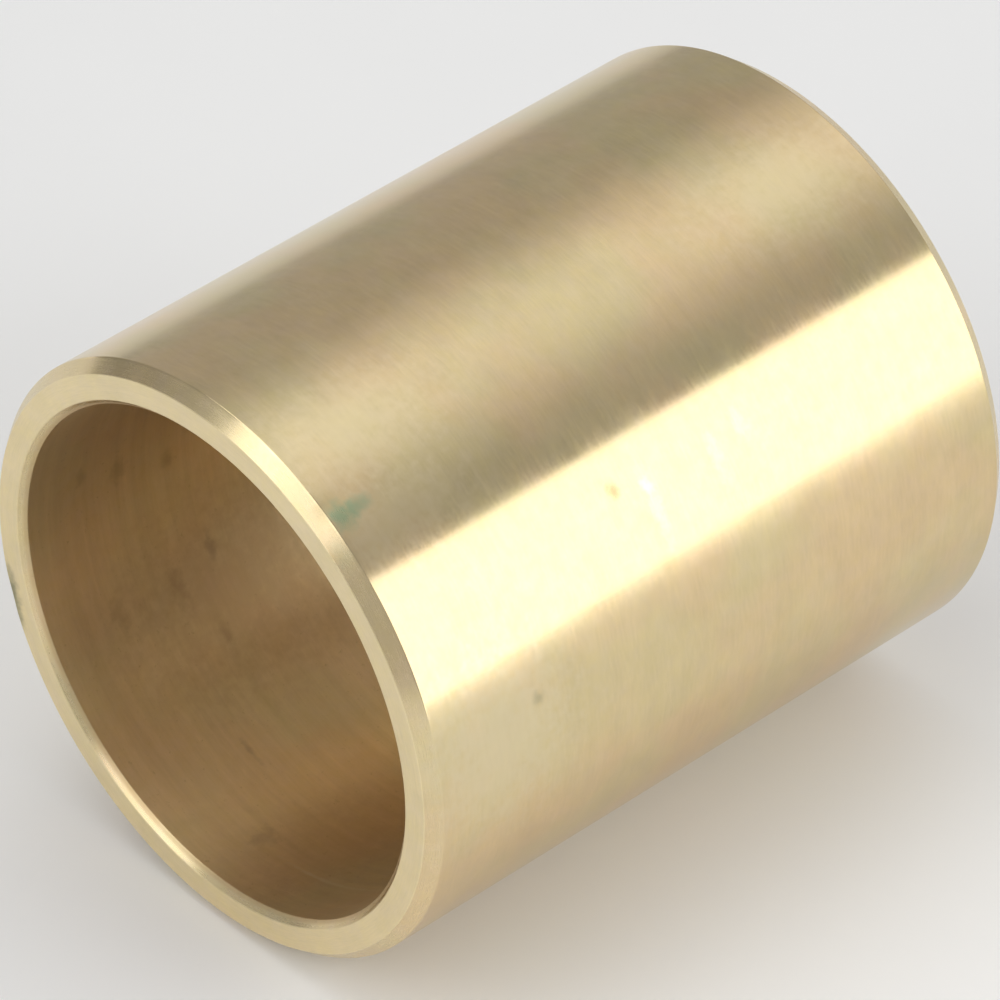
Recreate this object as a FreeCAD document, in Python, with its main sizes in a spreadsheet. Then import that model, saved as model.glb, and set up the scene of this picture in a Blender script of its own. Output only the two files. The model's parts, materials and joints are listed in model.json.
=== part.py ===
"""Plain bronze sleeve bushing: one turned tube, chamfered at both ends.

The bushing lies on its side. Its bore runs along Y, Z is up, and the origin is
the centre of the bore at half the bushing's length. All sizes are millimetres.
"""
import FreeCAD, Part
import math
import os
import Sketcher
from FreeCAD import Placement, Rotation, Vector

# Driving dimensions of the sheet: alias, value in millimetres, what it is.
DIMENSIONS = [
    ("bore_diameter", 36.0, "running bore for the shaft"),
    ("outer_diameter", 42.0, "outside, a press fit in its housing"),
    ("overall_length", 50.0, "from end face to end face"),
    ("lead_in_depth", 0.8, "outer chamfer, measured across the wall"),
    ("lead_in_length", 1.0, "outer chamfer, measured along the axis"),
    ("bore_chamfer", 0.5, "inner chamfer at 45 degrees, each way"),
]

SLEEVE = "bushing_sleeve"

# The sketcher's numbers: an edge's two ends, its X axis and its origin point.
START = 1
END = 2
X_AXIS = -1
ORIGIN_POINT = (X_AXIS, 1)

# Allowed error of the finished volume, as a share of the volume by formula.
VOLUME_TOLERANCE = 1e-6


def make_sheet(doc):
    """The spreadsheet that holds every driving dimension under an alias."""
    sheet = doc.addObject("Spreadsheet::Sheet", "dimensions")
    for row, (alias, value, meaning) in enumerate(DIMENSIONS, start=1):
        sheet.set(f"A{row}", alias)
        sheet.set(f"B{row}", str(value))
        sheet.set(f"C{row}", meaning)
        sheet.setAlias(f"B{row}", alias)
    doc.recompute()
    return sheet


def origin_feature(body, role):
    """A plane or axis of the body's own origin, found by its role."""
    return next(item for item in body.Origin.OriginFeatures if item.Role == role)


def wall_corners(sheet):
    """The wall's eight corners, in order: the near end, then the far end.

    X is the distance from the bore's axis, and Y runs along the axis.
    """
    bore = sheet.bore_diameter / 2
    outside = sheet.outer_diameter / 2
    face = sheet.overall_length / 2
    near_end = [
        (bore, sheet.bore_chamfer - face),
        (bore + sheet.bore_chamfer, -face),
        (outside - sheet.lead_in_depth, -face),
        (outside, sheet.lead_in_length - face),
    ]
    far_end = [(across, -along) for across, along in reversed(near_end)]
    return [Vector(across, along, 0) for across, along in near_end + far_end]


def draw_half_section(sketch, sheet):
    """Half of the wall's section: a closed outline, fully constrained."""
    corners = wall_corners(sheet)
    edges = [
        sketch.addGeometry(Part.LineSegment(start, end), False)
        for start, end in zip(corners, corners[1:] + corners[:1])
    ]
    for edge, following in zip(edges, edges[1:] + edges[:1]):
        sketch.addConstraint(Sketcher.Constraint("Coincident", edge, END, following, START))

    # The far end mirrors the near end across the sketch's X axis.
    half = len(edges) // 2
    for near, far in zip(edges[:half], reversed(edges[half:])):
        sketch.addConstraint(
            Sketcher.Constraint("Symmetric", near, START, far, START, X_AXIS))

    bore_chamfer, end_face, lead_in, outer_wall = edges[:half]
    sketch.addConstraint(Sketcher.Constraint("Horizontal", end_face))
    # Each row: name, direction, from, to, and the sheet's formula for it.
    distances = [
        ("bore_radius", "DistanceX", ORIGIN_POINT, (bore_chamfer, START),
         "dimensions.bore_diameter / 2"),
        ("outer_radius", "DistanceX", ORIGIN_POINT, (outer_wall, START),
         "dimensions.outer_diameter / 2"),
        ("half_length", "DistanceY", (end_face, START), ORIGIN_POINT,
         "dimensions.overall_length / 2"),
        ("lead_in_depth", "DistanceX", (lead_in, START), (lead_in, END),
         "dimensions.lead_in_depth"),
        ("lead_in_length", "DistanceY", (lead_in, START), (lead_in, END),
         "dimensions.lead_in_length"),
        ("bore_chamfer_across", "DistanceX", (bore_chamfer, START), (bore_chamfer, END),
         "dimensions.bore_chamfer"),
        ("bore_chamfer_along", "DistanceY", (bore_chamfer, END), (bore_chamfer, START),
         "dimensions.bore_chamfer"),
    ]
    for name, direction, start, end, formula in distances:
        apart = sketch.getPoint(*end) - sketch.getPoint(*start)
        value = apart.x if direction == "DistanceX" else apart.y
        index = sketch.addConstraint(Sketcher.Constraint(direction, *start, *end, value))
        sketch.renameConstraint(index, name)
        sketch.setExpression(f"Constraints.{name}", formula)


def make_sleeve(doc, sheet):
    """The whole bushing, turned in one piece: its half section spun about Y."""
    body = doc.addObject("PartDesign::Body", SLEEVE)
    body.Label = SLEEVE

    section = body.newObject("Sketcher::SketchObject", "half_section")
    section.AttachmentSupport = [(origin_feature(body, "XY_Plane"), "")]
    section.MapMode = "FlatFace"
    draw_half_section(section, sheet)
    doc.recompute()

    turned = body.newObject("PartDesign::Revolution", "turned_wall")
    turned.Profile = section
    turned.ReferenceAxis = (origin_feature(body, "Y_Axis"), [""])
    turned.Angle = 360.0
    body.Tip = turned
    body.Placement = Placement(Vector(0, 0, 0), Rotation())
    return body


def frustum_volume(first_radius, second_radius, length):
    """Volume of a cone's slice, or of a cylinder where both radii agree."""
    radii = first_radius**2 + first_radius * second_radius + second_radius**2
    return math.pi * length * radii / 3


def volume_by_formula(sheet):
    """The wall's volume from the dimensions alone, to compare the solid with."""
    bore = sheet.bore_diameter / 2
    outside = sheet.outer_diameter / 2
    length = sheet.overall_length
    lead_in = sheet.lead_in_length
    chamfer = sheet.bore_chamfer
    filled = frustum_volume(outside, outside, length - 2 * lead_in)
    filled += 2 * frustum_volume(outside - sheet.lead_in_depth, outside, lead_in)
    hollow = frustum_volume(bore, bore, length - 2 * chamfer)
    hollow += 2 * frustum_volume(bore, bore + chamfer, chamfer)
    return filled - hollow


def check_document(doc, section, bodies):
    """Stop with a plain message if anything in the document failed."""
    for item in doc.Objects:
        if {"Invalid", "Error"} & set(item.State):
            raise RuntimeError(f"{item.Label} did not recompute: {item.State}")
    if section.solve() != 0 or not section.FullyConstrained:
        raise RuntimeError("the half section isn't fully constrained")
    for body in bodies:
        if body.Shape.isNull() or not body.Shape.isValid():
            raise RuntimeError(f"{body.Label} has no valid shape")
        if len(body.Shape.Solids) != 1:
            raise RuntimeError(f"{body.Label} should be exactly one solid")


def main():
    os.makedirs("parts", exist_ok=True)
    doc = FreeCAD.newDocument("sleeve_bushing")
    sheet = make_sheet(doc)
    sleeve = make_sleeve(doc, sheet)
    doc.recompute()
    check_document(doc, doc.getObject("half_section"), [sleeve])

    expected = volume_by_formula(sheet)
    if abs(sleeve.Shape.Volume - expected) > VOLUME_TOLERANCE * expected:
        raise RuntimeError(f"volume {sleeve.Shape.Volume:.2f}, expected {expected:.2f}")

    sleeve.Shape.exportStep(f"parts/{sleeve.Label}.step")
    box = sleeve.Shape.BoundBox
    print(f"{sleeve.Label}: {sleeve.Shape.Volume:.1f} mm3,"
          f" box {box.XLength:.2f} x {box.YLength:.2f} x {box.ZLength:.2f} mm")


main()
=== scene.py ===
"""A plain bronze sleeve bushing on a pale floor in soft studio light.

The bushing lies on its side with its bore along Y. Sizes in the mesh code and
in the material are in millimetres, and become metres where Blender needs them.
"""
import json
import math
import random

import bpy
from mathutils import Matrix, Vector


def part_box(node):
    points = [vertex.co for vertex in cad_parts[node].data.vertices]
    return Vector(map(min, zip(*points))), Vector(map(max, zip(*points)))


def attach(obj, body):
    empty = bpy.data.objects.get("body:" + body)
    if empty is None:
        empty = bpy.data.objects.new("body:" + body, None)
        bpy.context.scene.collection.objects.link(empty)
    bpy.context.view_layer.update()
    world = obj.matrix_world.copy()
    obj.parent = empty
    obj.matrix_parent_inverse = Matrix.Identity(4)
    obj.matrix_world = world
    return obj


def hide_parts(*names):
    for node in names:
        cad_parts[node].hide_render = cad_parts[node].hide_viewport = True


MM = 0.001

# ---------------------------------------------------------------- the frame
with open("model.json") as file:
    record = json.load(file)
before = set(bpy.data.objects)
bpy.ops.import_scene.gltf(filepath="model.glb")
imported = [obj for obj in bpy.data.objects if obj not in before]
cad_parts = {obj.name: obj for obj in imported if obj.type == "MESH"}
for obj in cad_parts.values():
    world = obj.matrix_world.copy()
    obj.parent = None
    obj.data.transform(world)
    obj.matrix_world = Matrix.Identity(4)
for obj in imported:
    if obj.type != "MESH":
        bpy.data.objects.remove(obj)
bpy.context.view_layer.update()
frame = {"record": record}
RECORD = frame["record"]
SLEEVE = "bushing_sleeve"

low_corner, high_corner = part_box(SLEEVE)
MOUNTS = {mount["name"]: mount["dims"] for mount in RECORD["mounts"] if mount["dims"]}
BORE_RADIUS = MOUNTS["bore"]["r_mm"]
OUTER_RADIUS = MOUNTS["outer_diameter"]["r_mm"]
LENGTH = (high_corner.y - low_corner.y) / MM
HALF_LENGTH = LENGTH / 2
BORE_CHAMFER = (LENGTH - MOUNTS["bore"]["length_mm"]) / 2
LEAD_IN_LENGTH = (LENGTH - MOUNTS["outer_diameter"]["length_mm"]) / 2
# The lead-in's depth across the wall, which the record's mounts don't give.
LEAD_IN_DEPTH = 0.8
FLOOR_Z = low_corner.z

# ------------------------------------------------------------ the turned wall
SEGMENTS = 320
EDGE_RADIUS = 0.13
EDGE_STEPS = 5
# A ring this close to each rounded edge keeps the flats beside it shading flat.
SUPPORT = 0.05

# The longest step along each stretch of the wall's outline.
BORE_STEP = 0.26
OUTSIDE_STEP = 1.2
SHORT_STEP = 0.45

# Seed of the small dents and tool rings, and how many random dents each end has.
SEED = 4379
DINGS_PER_END = 6
# A dent pushes its edge along the axis too, by this share of its depth.
DING_LEAN = 0.6
# The tool rings stop this far from the ends.
MARK_MARGIN = 1.5


def outline_corners():
    """The wall's section: axial place, radius and the step of the stretch that follows."""
    near_end = [
        (BORE_CHAMFER - HALF_LENGTH, BORE_RADIUS, SHORT_STEP),
        (-HALF_LENGTH, BORE_RADIUS + BORE_CHAMFER, SHORT_STEP),
        (-HALF_LENGTH, OUTER_RADIUS - LEAD_IN_DEPTH, SHORT_STEP),
        (LEAD_IN_LENGTH - HALF_LENGTH, OUTER_RADIUS, OUTSIDE_STEP),
    ]
    steps = [SHORT_STEP, SHORT_STEP, SHORT_STEP, BORE_STEP]
    far_end = [
        (-place, radius, step)
        for (place, radius, _), step in zip(reversed(near_end), steps)
    ]
    return near_end + far_end


def rounded(before, corner, after):
    """Points of the small arc that breaks a sharp edge."""
    towards_before = (before - corner).normalized()
    towards_after = (after - corner).normalized()
    half_angle = towards_before.angle(towards_after) / 2
    setback = EDGE_RADIUS / math.tan(half_angle)
    centre = corner + (towards_before + towards_after).normalized() * (
        EDGE_RADIUS / math.sin(half_angle))
    start = corner + towards_before * setback - centre
    end = corner + towards_after * setback - centre
    turn = start.angle(end)
    points = []
    for step in range(EDGE_STEPS + 1):
        share = step / EDGE_STEPS
        mixed = start * math.sin((1 - share) * turn) + end * math.sin(share * turn)
        points.append(centre + mixed / math.sin(turn))
    return points


def wall_outline():
    """All rings of the wall: a closed list of (axial place, radius)."""
    corners = outline_corners()
    count = len(corners)
    places = [Vector((place, radius)) for place, radius, _ in corners]
    arcs = [
        rounded(places[index - 1], places[index], places[(index + 1) % count])
        for index in range(count)
    ]
    outline = []
    for index, arc in enumerate(arcs):
        outline += arc
        start, end = arc[-1], arcs[(index + 1) % count][0]
        run = end - start
        direction = run.normalized()
        first, last = start + direction * SUPPORT, end - direction * SUPPORT
        pieces = max(1, math.ceil((last - first).length / corners[index][2]))
        outline += [first.lerp(last, piece / pieces) for piece in range(pieces + 1)]
    return outline


class Ding:
    """A small dent in the wall, at an angle, an axial place and a radius."""

    def __init__(self, degrees, place, radius, width, length, depth):
        self.angle = math.radians(degrees)
        self.place = place
        self.radius = radius
        self.width = width
        self.length = length
        self.depth = depth

    def sink(self, angle, place, radius):
        """How far a point of the wall is pushed in."""
        turn = math.remainder(angle - self.angle, math.tau)
        around = turn * radius / self.width
        along = (place - self.place) / self.length
        across = (radius - self.radius) / self.length
        return self.depth * math.exp(-(around**2 + along**2 + across**2))


def edge_dings(rng):
    """Handling marks on both ends' outer edges: two that show, and random small ones."""
    dings = [
        Ding(197, -HALF_LENGTH + 0.4, OUTER_RADIUS - 0.5, width=1.1, length=0.5, depth=0.10),
        Ding(61, -HALF_LENGTH + 1.0, OUTER_RADIUS, width=0.5, length=0.4, depth=0.05),
    ]
    for end in (-1, 1):
        for _ in range(DINGS_PER_END):
            dings.append(
                Ding(
                    rng.uniform(0, 360),
                    end * (HALF_LENGTH - rng.uniform(0, LEAD_IN_LENGTH)),
                    OUTER_RADIUS - rng.uniform(0, LEAD_IN_DEPTH),
                    rng.uniform(0.35, 0.8),
                    rng.uniform(0.25, 0.45),
                    rng.uniform(0.010, 0.030),
                ))
    return dings


def bore_marks(rng):
    """Shallow rings that the boring tool left: (axial place, width, depth)."""
    marks = []
    place = -HALF_LENGTH + MARK_MARGIN
    while place < HALF_LENGTH - MARK_MARGIN:
        marks.append((place, rng.uniform(0.14, 0.4), rng.uniform(0.001, 0.007)))
        place += rng.uniform(0.5, 1.6)
    return marks


def mark_depth(marks, place):
    """How much wider the bore is at this place because of the tool's rings."""
    return sum(
        depth * math.exp(-(((place - centre) / width)**2)) for centre, width, depth in marks
        if abs(place - centre) < 3 * width)


def make_sleeve():
    """The bushing as one closed lathe mesh, with its own unwrapped map."""
    rng = random.Random(SEED)
    dings = edge_dings(rng)
    marks = bore_marks(rng)
    outline = wall_outline()
    rings = len(outline)

    vertices = []
    for place, radius in outline:
        in_bore = radius < BORE_RADIUS + 0.5 * BORE_CHAMFER
        deeper = mark_depth(marks, place) if in_bore else 0.0
        for segment in range(SEGMENTS):
            angle = math.tau * segment / SEGMENTS
            sink = sum(ding.sink(angle, place, radius) for ding in dings)
            true_radius = radius + deeper - sink
            shift = math.copysign(DING_LEAN * sink, -place)
            vertices.append(
                (true_radius * math.cos(angle) * MM, (place + shift) * MM,
                 true_radius * math.sin(angle) * MM))

    faces = []
    for ring in range(rings):
        following = (ring + 1) % rings
        for segment in range(SEGMENTS):
            beside = (segment + 1) % SEGMENTS
            faces.append((ring * SEGMENTS + segment, following * SEGMENTS + segment,
                          following * SEGMENTS + beside, ring * SEGMENTS + beside))

    mesh = bpy.data.meshes.new("sleeve")
    mesh.from_pydata(vertices, [], faces)
    mesh.polygons.foreach_set("use_smooth", [True] * len(mesh.polygons))
    unwrap_lathe(mesh, outline)
    mesh.validate()
    sleeve = bpy.data.objects.new("bronze_sleeve", mesh)
    bpy.context.scene.collection.objects.link(sleeve)
    return sleeve


def unwrap_lathe(mesh, outline):
    """One rectangle of the map: round the wall across it, along the outline up it."""
    margin = 0.004
    rings = len(outline)
    lengths = [0.0]
    for index in range(rings):
        lengths.append(lengths[-1] + (outline[(index + 1) % rings] - outline[index]).length)
    up = [margin + (1 - 2 * margin) * length / lengths[-1] for length in lengths]
    # Laid out from right to left, so the map isn't mirrored on the outward faces.
    across = [1 - margin - (1 - 2 * margin) * step / SEGMENTS for step in range(SEGMENTS + 1)]
    layer = mesh.uv_layers.new(name="OFBake")
    coordinates = []
    for ring in range(rings):
        for segment in range(SEGMENTS):
            coordinates += [
                across[segment], up[ring], across[segment], up[ring + 1],
                across[segment + 1], up[ring + 1], across[segment + 1], up[ring]
            ]
    layer.data.foreach_set("uv", coordinates)


# ----------------------------------------------------------------- materials
class Nodes:
    """Short names for the shader nodes used here. All but add and feed return an output."""

    def __init__(self, tree):
        tree.nodes.clear()
        self.tree = tree

    def add(self, kind, inputs=None, **settings):
        """A node of this kind, with its settings made and its inputs set or linked."""
        node = self.tree.nodes.new("ShaderNode" + kind)
        for name, value in settings.items():
            setattr(node, name, value)
        for name, value in (inputs or {}).items():
            self.feed(node.inputs[name], value)
        return node

    def feed(self, socket, value):
        """Link an output to this socket, or set its plain value."""
        if isinstance(value, bpy.types.NodeSocket):
            self.tree.links.new(value, socket)
        else:
            socket.default_value = value

    def math(self, operation, *values, clamp=False):
        """The result of a Math node on these values or outputs."""
        inputs = dict(enumerate(values))
        return self.add("Math", inputs, operation=operation, use_clamp=clamp).outputs[0]

    def vector(self, x, y, z):
        """Three values or outputs joined into a vector."""
        return self.add("CombineXYZ", {"X": x, "Y": y, "Z": z}).outputs[0]

    def noise(self, vector, scale, detail=2.0, roughness=0.5):
        """Smooth noise from 0 to 1, mostly near the middle."""
        inputs = {"Vector": vector, "Scale": scale, "Detail": detail, "Roughness": roughness}
        return self.add("TexNoise", inputs).outputs["Fac"]

    def smooth(self, value, low, high):
        """0 below low, 1 above high and a smooth step between. low may be above high."""
        node = self.add("MapRange", {"Value": value, "From Min": low, "From Max": high},
                        interpolation_type="SMOOTHSTEP")
        return node.outputs[0]

    def remap(self, value, low, high, to_low, to_high):
        """A straight, clamped change of range."""
        inputs = {
            "Value": value,
            "From Min": low,
            "From Max": high,
            "To Min": to_low,
            "To Max": to_high
        }
        return self.add("MapRange", inputs).outputs[0]

    def mix(self, factor, first, second, blend="MIX"):
        """Two colours mixed or blended."""
        node = self.add("Mix", data_type="RGBA", blend_type=blend)
        self.feed(node.inputs[0], factor)
        self.feed(node.inputs[6], first)
        self.feed(node.inputs[7], second)
        return node.outputs[2]


def colour(red, green, blue):
    """An opaque colour."""
    return (red, green, blue, 1.0)


WHITE = colour(1.0, 1.0, 1.0)

# The metal: where it is bright, freshly cut and paler (lifted as painted reflection too),
# copper-rich, green-grey, and old.
BRONZE = colour(0.74, 0.585, 0.335)
# Paler end colour: partly the faced finish, partly painted reflection that brightens the ends;
# also the tint of painted highlight films.
FACED_AND_SHEEN = colour(0.88, 0.735, 0.45)
COPPERY = colour(0.76, 0.565, 0.335)
OLIVE = colour(0.69, 0.585, 0.335)
TARNISH = colour(0.52, 0.34, 0.16)
# What lies on the metal: stains, specks and thin films.
STAIN = colour(0.26, 0.17, 0.09)
VERDIGRIS = colour(0.30, 0.46, 0.28)
RUST_SPECK = colour(0.60, 0.36, 0.18)
DARK_SPECK = colour(0.24, 0.24, 0.15)
BROWN_OXIDE = colour(0.46, 0.30, 0.15)
HAZE = colour(0.76, 0.66, 0.43)
SCUFF = colour(0.86, 0.82, 0.70)


# Grain and stains use one coordinate along the wall's outline: the axial place plus
# this many times the radius, so that it changes across every face and chamfer.
RADIUS_SHARE = 2.2

# How far a spot's edge wanders, against its half sizes.
RAGGEDNESS = 1.6


class Spot:
    """A stain, or a film of painted highlight or shade, on the wall, in degrees round the axis,
    at an axial place and a radius.

    around and along are its half sizes in millimetres.
    """

    def __init__(self, degrees, place, radius, around, along, tint, strength, film=False):
        self.angle = math.radians(degrees)
        # The same coordinate along the wall's outline that the shader works out.
        self.along_outline = place + RADIUS_SHARE * radius
        self.in_bore = radius < BORE_RADIUS + BORE_CHAMFER / 2
        self.around = around
        self.along = along
        self.tint = tint
        self.strength = strength
        # A film only changes the colour. Any other spot is also dull and slightly sunk.
        self.film = film

    def amount(self, nodes, point, patterns):
        """How much of the point this spot covers: an ellipse with a ragged edge."""
        turn = nodes.math("SUBTRACT", point.angle, self.angle)
        turn = nodes.math("WRAP", turn, math.pi, -math.pi)
        around = nodes.math("DIVIDE", nodes.math("MULTIPLY", turn, point.radius), self.around)
        run = nodes.math("SUBTRACT", point.along_outline, self.along_outline)
        along = nodes.math("DIVIDE", run, self.along)
        away = nodes.math("SQRT", nodes.math("ADD", nodes.math("MULTIPLY", around, around),
                                             nodes.math("MULTIPLY", along, along)))
        edge = nodes.math("ADD", away, nodes.math("MULTIPLY", patterns.ragged, RAGGEDNESS))
        inside = nodes.smooth(edge, 1.5, 0.1)
        side = point.in_bore if self.in_bore else nodes.math("SUBTRACT", 1.0, point.in_bore)
        return nodes.math("MULTIPLY", nodes.math("MULTIPLY", inside, side), self.strength)


SPOTS = [
    # Outside: films first (haze, scuffs, and pale or olive films of painted highlight and painted
    # shade on the reflected bands), then the small marks on top of them.
    Spot(9, -19.0, OUTER_RADIUS, 5.5, 6.0, HAZE, 0.60, film=True),
    # Painted reflection: a pale film that lightens the dark reflected band near the near end.
    Spot(54, -20.5, OUTER_RADIUS, 2.4, 5.5, FACED_AND_SHEEN, 0.45, film=True),
    # Painted highlight: pale films that brighten the reflected overhead band near both ends.
    Spot(72, -19.0, OUTER_RADIUS, 3.5, 7.0, FACED_AND_SHEEN, 0.40, film=True),
    Spot(71, 18.0, OUTER_RADIUS, 3.5, 7.0, FACED_AND_SHEEN, 0.40, film=True),
    Spot(33, -3.0, OUTER_RADIUS, 2.8, 0.45, SCUFF, 0.16, film=True),
    Spot(37, -3.2, OUTER_RADIUS, 0.6, 0.40, SCUFF, 0.30, film=True),
    Spot(35, 2.5, OUTER_RADIUS, 1.5, 0.45, SCUFF, 0.14, film=True),
    Spot(38, 5.0, OUTER_RADIUS, 1.0, 0.60, SCUFF, 0.14, film=True),
    # Painted shade: an olive film that darkens the core of the dark reflected band along its
    # middle.
    Spot(53, 6.0, OUTER_RADIUS, 1.6, 13.0, OLIVE, 0.30, film=True),
    Spot(58.7, -23.2, OUTER_RADIUS, 1.05, 0.85, VERDIGRIS, 0.66),
    Spot(58.9, -22.0, OUTER_RADIUS, 0.55, 1.3, VERDIGRIS, 0.60, film=True),
    Spot(52.5, -24.5, OUTER_RADIUS - 0.4, 0.9, 1.4, VERDIGRIS, 0.15, film=True),
    Spot(39.4, -5.6, OUTER_RADIUS, 0.60, 0.45, RUST_SPECK, 0.85),
    Spot(26.0, -15.9, OUTER_RADIUS, 0.90, 0.60, RUST_SPECK, 0.15, film=True),
    Spot(13.6, -15.6, OUTER_RADIUS, 0.55, 0.45, DARK_SPECK, 0.38),
    # The near end's edge.
    Spot(197, -HALF_LENGTH, OUTER_RADIUS - 0.8, 2.2, 1.70, DARK_SPECK, 0.80),
    # The bore: broad brown patches, small dark smudges and one bright tool mark.
    Spot(217, -10.0, BORE_RADIUS, 6.5, 9.0, BROWN_OXIDE, 0.50, film=True),
    Spot(280, -17.0, BORE_RADIUS, 4.2, 7.0, BROWN_OXIDE, 0.30, film=True),
    Spot(206, -10.9, BORE_RADIUS, 0.9, 0.40, STAIN, 0.45),
    Spot(178, -16.9, BORE_RADIUS, 1.0, 0.60, STAIN, 0.35),
    Spot(182, -12.8, BORE_RADIUS, 0.8, 0.50, STAIN, 0.35),
    Spot(174, -20.1, BORE_RADIUS, 0.9, 0.40, STAIN, 0.30),
    Spot(210, -19.1, BORE_RADIUS, 1.3, 0.60, STAIN, 0.25, film=True),
    Spot(211, -14.2, BORE_RADIUS, 1.5, 0.70, STAIN, 0.30, film=True),
    Spot(224, -12.4, BORE_RADIUS, 1.0, 0.40, STAIN, 0.30),
    Spot(248, -15.9, BORE_RADIUS, 1.1, 0.22, STAIN, 0.45),
    Spot(267, -19.9, BORE_RADIUS, 0.9, 0.90, STAIN, 0.35),
    Spot(290, -20.4, BORE_RADIUS, 4.5, 0.16, HAZE, 0.45, film=True),
]


# How even the metal's hue is, how much of the ends' paler colour (cut finish and painted
# reflection) the chamfers take, and how much more the rings' painted shade shows in the bore.
EVENNESS = 0.4
CHAMFER_PALE_SHARE = 0.3
RING_CONTRAST = 4.0

# How much of the bore is covered by tarnish, least and most, and by dirt in its specks.
TARNISH_COVER = (0.15, 0.50)
DIRT_COVER = 0.35

# Roughness of the outside and of the cut ends, then what is added to it elsewhere.
OUTSIDE_ROUGHNESS = 0.19
CUT_ROUGHNESS = 0.30
DULLER_BORE = 0.05
DULLER_FACE = 0.05
DULLER_STAIN = 0.12
BRIGHTER_END = 0.04

# How far the grooves stretch reflections: across them, because they run round the axis.
ANISOTROPY = 0.75
ACROSS_GROOVES = 0.25

# The bore's brown film hides part of the metal, so it scatters some light.
BORE_METALLIC = 0.80

# Depth of the relief in millimetres, and the shares of what it is made of.
RELIEF_DEPTH = 0.0017
GRAIN_RELIEF = 0.6
FINE_GRAIN_RELIEF = 0.4
END_RELIEF = 0.5
RING_RELIEF = 2.2
STAIN_SINK = 0.12


class WallPoint:
    """Where the shaded point lies: coordinates in millimetres, and masks.

    A mask is 1 on its own part of the wall and 0 elsewhere.
    """

    def __init__(self, nodes):
        position = nodes.add("TexCoord").outputs["Object"]
        split = nodes.add("SeparateXYZ", {0: position}).outputs
        x, y, z = (nodes.math("MULTIPLY", axis, 1 / MM) for axis in split)
        self.millimetres = nodes.vector(x, y, z)
        self.radius = nodes.math("SQRT", nodes.math("ADD", nodes.math("MULTIPLY", x, x),
                                                    nodes.math("MULTIPLY", z, z)))
        self.angle = nodes.math("ARCTAN2", z, x)
        self.cosine = nodes.math("DIVIDE", x, self.radius)
        self.sine = nodes.math("DIVIDE", z, self.radius)
        self.along_outline = nodes.math("ADD", y,
                                        nodes.math("MULTIPLY", self.radius, RADIUS_SHARE))

        from_middle = nodes.math("ABSOLUTE", y)
        self.in_bore = nodes.smooth(self.radius, BORE_RADIUS + 0.30, BORE_RADIUS + 0.08)
        self.on_outside = nodes.smooth(self.radius, OUTER_RADIUS - 0.12, OUTER_RADIUS - 0.02)
        self.on_face = nodes.smooth(from_middle, HALF_LENGTH - 0.10, HALF_LENGTH - 0.02)
        self.near_end = nodes.smooth(from_middle, HALF_LENGTH - 1.05 * LEAD_IN_LENGTH,
                                     HALF_LENGTH - 0.95 * LEAD_IN_LENGTH)
        # The face and both chamfers.
        self.on_end = nodes.math("MULTIPLY", self.near_end,
                                 nodes.math("SUBTRACT", 1.0, self.in_bore))


class Patterns:
    """Noise fields on the wall."""

    def __init__(self, nodes, point):

        def lathe(turns):
            """A vector that makes noise run round the wall: slow round it, quick along it."""
            return nodes.vector(nodes.math("MULTIPLY", point.cosine, turns), point.along_outline,
                                nodes.math("MULTIPLY", point.sine, turns))

        # Turned grain and tool rings, which run round the wall.
        self.grain = nodes.noise(lathe(3.0), 5.5, detail=3.0, roughness=0.65)
        self.fine_grain = nodes.noise(lathe(9.0), 11.0, detail=2.0, roughness=0.6)
        self.rings = nodes.noise(lathe(0.6), 1.35, detail=2.0, roughness=0.55)
        # Slow changes of hue, handling smudges, specks and the ragged edges of stains.
        self.clouds = nodes.noise(point.millimetres, 0.13)
        self.patches = nodes.noise(point.millimetres, 0.34, detail=4.0, roughness=0.6)
        self.fine_patches = nodes.noise(point.millimetres, 0.75, detail=3.0, roughness=0.65)
        self.specks = nodes.noise(point.millimetres, 2.1, detail=3.0, roughness=0.7)
        self.ragged = nodes.math("SUBTRACT", nodes.noise(point.millimetres, 1.5, detail=3.0), 0.5)


def metal_colour_and_painted_light(nodes, point, patterns):
    """The bronze's colour: slow changes of hue, paler ends (cut finish and painted reflection),
    shades of the grain, and the tool rings' painted shade.
    """
    metal = nodes.mix(nodes.smooth(patterns.clouds, 0.35, 0.65), COPPERY, OLIVE)
    metal = nodes.mix(EVENNESS, metal, BRONZE)
    # The chamfers take part of the ends' paler colour, which is partly painted reflection.
    chamfers = nodes.math("MULTIPLY", point.on_end, CHAMFER_PALE_SHARE)
    metal = nodes.mix(nodes.math("MAXIMUM", point.on_face, chamfers), metal, FACED_AND_SHEEN)

    grain_shade = nodes.remap(patterns.grain, 0.25, 0.75, 0.95, 1.04)
    mottle_shade = nodes.remap(patterns.patches, 0.3, 0.7, 0.945, 1.035)
    # Tool rings: real marks whose light and dark tone here is painted shade, standing in for the
    # shading of their relief; strongest in the bore.
    ring_tone_and_painted_shade = nodes.remap(patterns.rings, 0.3, 0.7, 0.985, 1.012)
    contrast = nodes.math("ADD", 1.0, nodes.math("MULTIPLY", point.in_bore, RING_CONTRAST))
    ring_tone_and_painted_shade = nodes.math("POWER", ring_tone_and_painted_shade, contrast)
    shades = nodes.math("MULTIPLY", nodes.math("MULTIPLY", grain_shade, mottle_shade), ring_tone_and_painted_shade)
    # Blue changes more than red and green do, so the metal is yellower in places.
    blue_shade = nodes.math("MULTIPLY", shades,
                            nodes.remap(patterns.fine_patches, 0.3, 0.7, 1.05, 0.94))
    return nodes.mix(1.0, metal, nodes.vector(shades, shades, blue_shade), blend="MULTIPLY")


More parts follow.
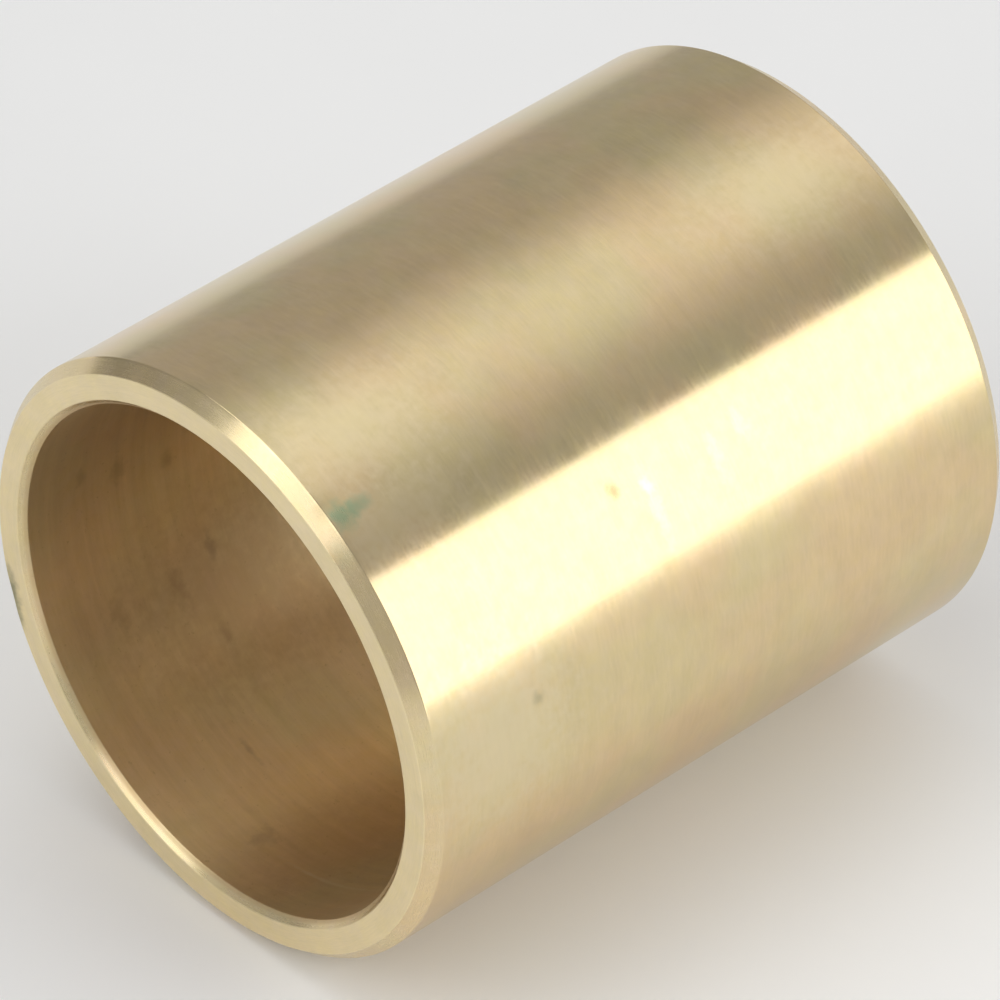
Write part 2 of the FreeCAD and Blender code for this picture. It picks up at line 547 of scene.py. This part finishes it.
def stains_and_painted_light(nodes, point, patterns, shade):
    """The colour with tarnish, dirt and spots on it, some spots being painted highlight or shade,
    and how much they dull each point.
    """
    tarnish = nodes.remap(patterns.patches, 0.3, 0.7, *TARNISH_COVER)
    shade = nodes.mix(nodes.math("MULTIPLY", point.in_bore, tarnish), shade, TARNISH)
    dirt = nodes.math("MULTIPLY", nodes.smooth(patterns.specks, 0.62, 0.78), DIRT_COVER)
    dulled = nodes.math("MULTIPLY", dirt, point.in_bore)
    shade = nodes.mix(dulled, shade, STAIN)
    for spot in SPOTS:
        amount = spot.amount(nodes, point, patterns)
        shade = nodes.mix(amount, shade, spot.tint)
        if not spot.film:
            dulled = nodes.math("MAXIMUM", dulled, amount)
    return shade, dulled


def surface_roughness(nodes, point, patterns, dulled):
    """Bright outside, duller ends and a dull bore, with grain and smudges on top."""
    surface = nodes.remap(point.on_outside, 0.0, 1.0, CUT_ROUGHNESS, OUTSIDE_ROUGHNESS)
    surface = nodes.math("ADD", surface, nodes.math("MULTIPLY", point.in_bore, DULLER_BORE))
    surface = nodes.math("ADD", surface, nodes.math("MULTIPLY", point.on_face, DULLER_FACE))
    surface = nodes.math("SUBTRACT", surface, nodes.math("MULTIPLY", point.on_end, BRIGHTER_END))
    grain_part = nodes.remap(patterns.grain, 0.25, 0.75, -0.025, 0.025)
    smudge_part = nodes.remap(patterns.patches, 0.3, 0.7, -0.02, 0.035)
    surface = nodes.math("ADD", surface, nodes.math("ADD", grain_part, smudge_part))
    return nodes.math("ADD", surface, nodes.math("MULTIPLY", dulled, DULLER_STAIN), clamp=True)


def surface_relief(nodes, point, patterns, dulled):
    """Turned grain everywhere, deeper tool rings in the bore, and sunk stains."""
    relief = nodes.math("ADD", nodes.math("MULTIPLY", patterns.grain, GRAIN_RELIEF),
                        nodes.math("MULTIPLY", patterns.fine_grain, FINE_GRAIN_RELIEF))
    # The grain is closer together across the ends, so it is shallower there.
    relief = nodes.math("MULTIPLY", relief,
                        nodes.remap(point.near_end, 0.0, 1.0, 1.0, END_RELIEF))
    rings = nodes.math("MULTIPLY", patterns.rings, point.in_bore)
    relief = nodes.math("ADD", relief, nodes.math("MULTIPLY", rings, RING_RELIEF))
    return nodes.math("SUBTRACT", relief, nodes.math("MULTIPLY", dulled, STAIN_SINK))


def make_bronze():
    """Fine-turned bronze: bright outside, brown and tool-marked in the bore."""
    material = bpy.data.materials.new("turned_bronze")
    material.use_nodes = True
    nodes = Nodes(material.node_tree)
    point = WallPoint(nodes)
    patterns = Patterns(nodes, point)

    shade, dulled = stains_and_painted_light(nodes, point, patterns, metal_colour_and_painted_light(nodes, point, patterns))
    relief = surface_relief(nodes, point, patterns, dulled)
    normal = nodes.add("Bump", {"Strength": 1.0, "Distance": RELIEF_DEPTH * MM, "Height": relief})
    groove = nodes.add("Tangent", direction_type="RADIAL", axis="Y")
    shader = nodes.add(
        "BsdfPrincipled", {
            "Base Color": shade,
            "Metallic": nodes.remap(point.in_bore, 0.0, 1.0, 1.0, BORE_METALLIC),
            "Roughness": surface_roughness(nodes, point, patterns, dulled),
            "Anisotropic": ANISOTROPY,
            "Anisotropic Rotation": ACROSS_GROOVES,
            "Tangent": groove.outputs[0],
            "Normal": normal.outputs["Normal"],
        })
    nodes.add("OutputMaterial", {"Surface": shader.outputs[0]})
    return material


# The far floor and the horizon are equally pale, but for a dim corner behind on the left:
# its direction, and the cosines of the angles from it where it is fully dim and ends.
DIM_CORNER = (-0.852, 0.523, 0.0)
CORNER_DIM = 0.97
CORNER_ENDS = 0.90
FAR_FLOOR_GLOW = 0.36
HORIZON = 0.84


def away_from_corner(nodes, direction):
    """0 towards the dim corner of the studio, and 1 in every other level direction."""
    level = nodes.add("VectorMath", {0: direction, 1: (1, 1, 0)}, operation="MULTIPLY")
    level = nodes.add("VectorMath", {0: level.outputs[0]}, operation="NORMALIZE")
    towards = nodes.add("VectorMath", {0: level.outputs[0], 1: DIM_CORNER},
                        operation="DOT_PRODUCT")
    return nodes.smooth(towards.outputs["Value"], CORNER_DIM, CORNER_ENDS)


# The card and its faint mottle, and the distances between which it starts to glow.
CARD = colour(0.90, 0.90, 0.895)
CARD_MOTTLE = colour(0.93, 0.93, 0.925)
GLOW_STARTS = 0.12
GLOW_FULL = 1.0


def make_floor_material():
    """Matt white card with a faint mottle, self-lit far from the bushing."""
    material = bpy.data.materials.new("white_card")
    material.use_nodes = True
    nodes = Nodes(material.node_tree)
    position = nodes.add("TexCoord").outputs["Object"]
    mottle = nodes.noise(position, 40.0, detail=4.0)
    shade = nodes.mix(mottle, CARD, CARD_MOTTLE)
    distance = nodes.add("VectorMath", {0: position}, operation="LENGTH").outputs["Value"]
    far = nodes.smooth(distance, GLOW_STARTS, GLOW_FULL)
    pale = nodes.math("MULTIPLY", far, away_from_corner(nodes, position))
    glow = nodes.math("MULTIPLY", pale, FAR_FLOOR_GLOW)
    shader = nodes.add(
        "BsdfPrincipled", {
            "Base Color": shade,
            "Roughness": 0.9,
            "Emission Color": WHITE,
            "Emission Strength": glow,
        })
    nodes.add("OutputMaterial", {"Surface": shader.outputs[0]})
    return material


# ------------------------------------------------------------ floor and light
FLOOR_RADIUS = 12.0
FLOOR_SIDES = 96


def make_floor():
    """A wide, plain, pale disc that the bushing lies on."""
    turns = [math.tau * side / FLOOR_SIDES for side in range(FLOOR_SIDES)]
    rim = [(FLOOR_RADIUS * math.cos(turn), FLOOR_RADIUS * math.sin(turn), FLOOR_Z)
           for turn in turns]
    mesh = bpy.data.meshes.new("floor")
    mesh.from_pydata(rim, [], [tuple(range(FLOOR_SIDES))])
    mesh.materials.append(make_floor_material())
    floor = bpy.data.objects.new("floor", mesh)
    bpy.context.scene.collection.objects.link(floor)
    return floor


def softbox(name, place, facing, level, width, height, radiance):
    """A rectangular white light at this place, with its width along level.

    facing points from the lamp to what it lights, at right angles to level.
    """
    light = bpy.data.lights.new(name, "AREA")
    light.shape = "RECTANGLE"
    light.size = width
    light.size_y = height
    light.energy = radiance * math.pi * width * height
    lamp = bpy.data.objects.new(name, light)
    back = -facing.normalized()
    side = level.normalized()
    turn = Matrix((side, back.cross(side), back)).transposed()
    lamp.rotation_euler = turn.to_euler()
    lamp.location = place
    lamp.visible_camera = False
    bpy.context.scene.collection.objects.link(lamp)


def side_softbox(name, round_axis, y_centre, distance, length, height, radiance):
    """A softbox beside the bushing, its length along Y.

    round_axis is its direction in degrees round the bore's axis, from +X up to
    +Z, seen from the middle of the bushing.
    """
    angle = math.radians(round_axis)
    outward = Vector((math.cos(angle), 0, math.sin(angle)))
    place = outward * distance + Vector((0, y_centre, 0))
    softbox(name, place, -outward, Vector((0, 1, 0)), length, height, radiance)


def aimed_softbox(name, azimuth, elevation, distance, width, height, radiance):
    """A softbox that faces the bushing. Azimuth 0 is the -Y side and 90 the +X side."""
    turn = math.radians(azimuth)
    rise = math.radians(elevation)
    level = Vector((math.cos(turn), math.sin(turn), 0))
    outward = Vector((math.sin(turn) * math.cos(rise), -math.cos(turn) * math.cos(rise),
                      math.sin(rise)))
    softbox(name, outward * distance, -outward, level, width, height, radiance)


# The overhead band, in degrees round the bore's axis from +X up to +Z: its middle,
# how far from it the band ends, and how far its bright core reaches.
BAND_MIDDLE = 97
BAND_REACH = 43
BAND_CORE = 2
BAND_STRENGTH = 0.50

# How bright the room's walls are beside the bushing, beyond its far end, and how much
# is added in front of its near end.
WALLS_BESIDE = 0.28
WALLS_BEYOND = 0.46
WALLS_IN_FRONT = 0.24


def make_world():
    """A plain grey studio with a soft bright band overhead, along the bore's axis."""
    world = bpy.data.worlds.new("studio")
    bpy.context.scene.world = world
    world.use_nodes = True
    nodes = Nodes(world.node_tree)
    direction = nodes.add("TexCoord").outputs["Generated"]
    split = nodes.add("SeparateXYZ", {0: direction}).outputs
    round_axis = nodes.math("ARCTAN2", split[2], split[0])
    away = nodes.math("ABSOLUTE", nodes.math("SUBTRACT", round_axis,
                                             math.radians(BAND_MIDDLE)))
    # The band hangs beyond the far end, where the bushing's outside mirrors it, and
    # fades before it reaches the horizon there.
    across = nodes.smooth(away, math.radians(BAND_REACH), math.radians(BAND_CORE))
    beyond = nodes.math("MULTIPLY", nodes.smooth(split[1], -0.05, 0.35),
                        nodes.smooth(split[1], 0.92, 0.70))
    band = nodes.math("MULTIPLY", across, beyond)
    walls = nodes.remap(split[1], -0.15, 0.30, WALLS_BESIDE, WALLS_BEYOND)
    in_front = nodes.remap(split[1], -0.30, -0.55, 0.0, WALLS_IN_FRONT)
    walls = nodes.math("ADD", walls, in_front)
    low = nodes.math("MULTIPLY", nodes.smooth(split[2], 0.03, 0.0),
                     away_from_corner(nodes, direction))
    lift = nodes.math("MULTIPLY", low, nodes.math("SUBTRACT", HORIZON, walls))
    walls = nodes.math("ADD", walls, lift)
    strength = nodes.math("ADD", nodes.math("MULTIPLY", band, BAND_STRENGTH), walls)
    background = nodes.add("Background", {"Color": WHITE, "Strength": strength})
    nodes.add("OutputWorld", {"Surface": background.outputs[0]})


# ---------------------------------------------------------------- the camera
CAMERA_AZIMUTH = 47.37
CAMERA_ELEVATION = 39.46
# The distance is a multiple of the outer radius, and the lens one of the sensor's width.
CAMERA_DISTANCE = 25.3 * OUTER_RADIUS
SENSOR = 36.0
LENS = SENSOR * 8.275
CAMERA_SHIFT = (-0.0008, -0.0046)


def make_camera():
    """The camera, above the near end and its +X side. Azimuth 0 is -Y and 90 is +X."""
    azimuth = math.radians(CAMERA_AZIMUTH)
    elevation = math.radians(CAMERA_ELEVATION)
    direction = Vector((math.sin(azimuth) * math.cos(elevation),
                        -math.cos(azimuth) * math.cos(elevation), math.sin(elevation)))
    data = bpy.data.cameras.new("camera")
    data.sensor_width = SENSOR
    data.lens = LENS
    data.shift_x, data.shift_y = CAMERA_SHIFT
    data.clip_start = 0.01
    data.clip_end = 100.0
    camera = bpy.data.objects.new("camera", data)
    camera.location = direction * CAMERA_DISTANCE * MM
    camera.rotation_euler = (-direction).to_track_quat("-Z", "Y").to_euler()
    bpy.context.scene.collection.objects.link(camera)
    bpy.context.scene.camera = camera


# ----------------------------------------------------------------- the scene
sleeve = make_sleeve()
sleeve.data.materials.append(make_bronze())
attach(sleeve, "root")
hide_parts(SLEEVE)

floor = make_floor()
make_world()
side_softbox("window", round_axis=22.2, y_centre=0.30, distance=0.48, length=0.72,
             height=0.412, radiance=1.78)
aimed_softbox("front", azimuth=-5, elevation=39, distance=0.80, width=0.63, height=0.45,
              radiance=1.29)
aimed_softbox("top", azimuth=-45, elevation=72, distance=0.80, width=0.60, height=0.55,
              radiance=1.40)
make_camera()
bpy.context.scene.view_settings.view_transform = "Standard"
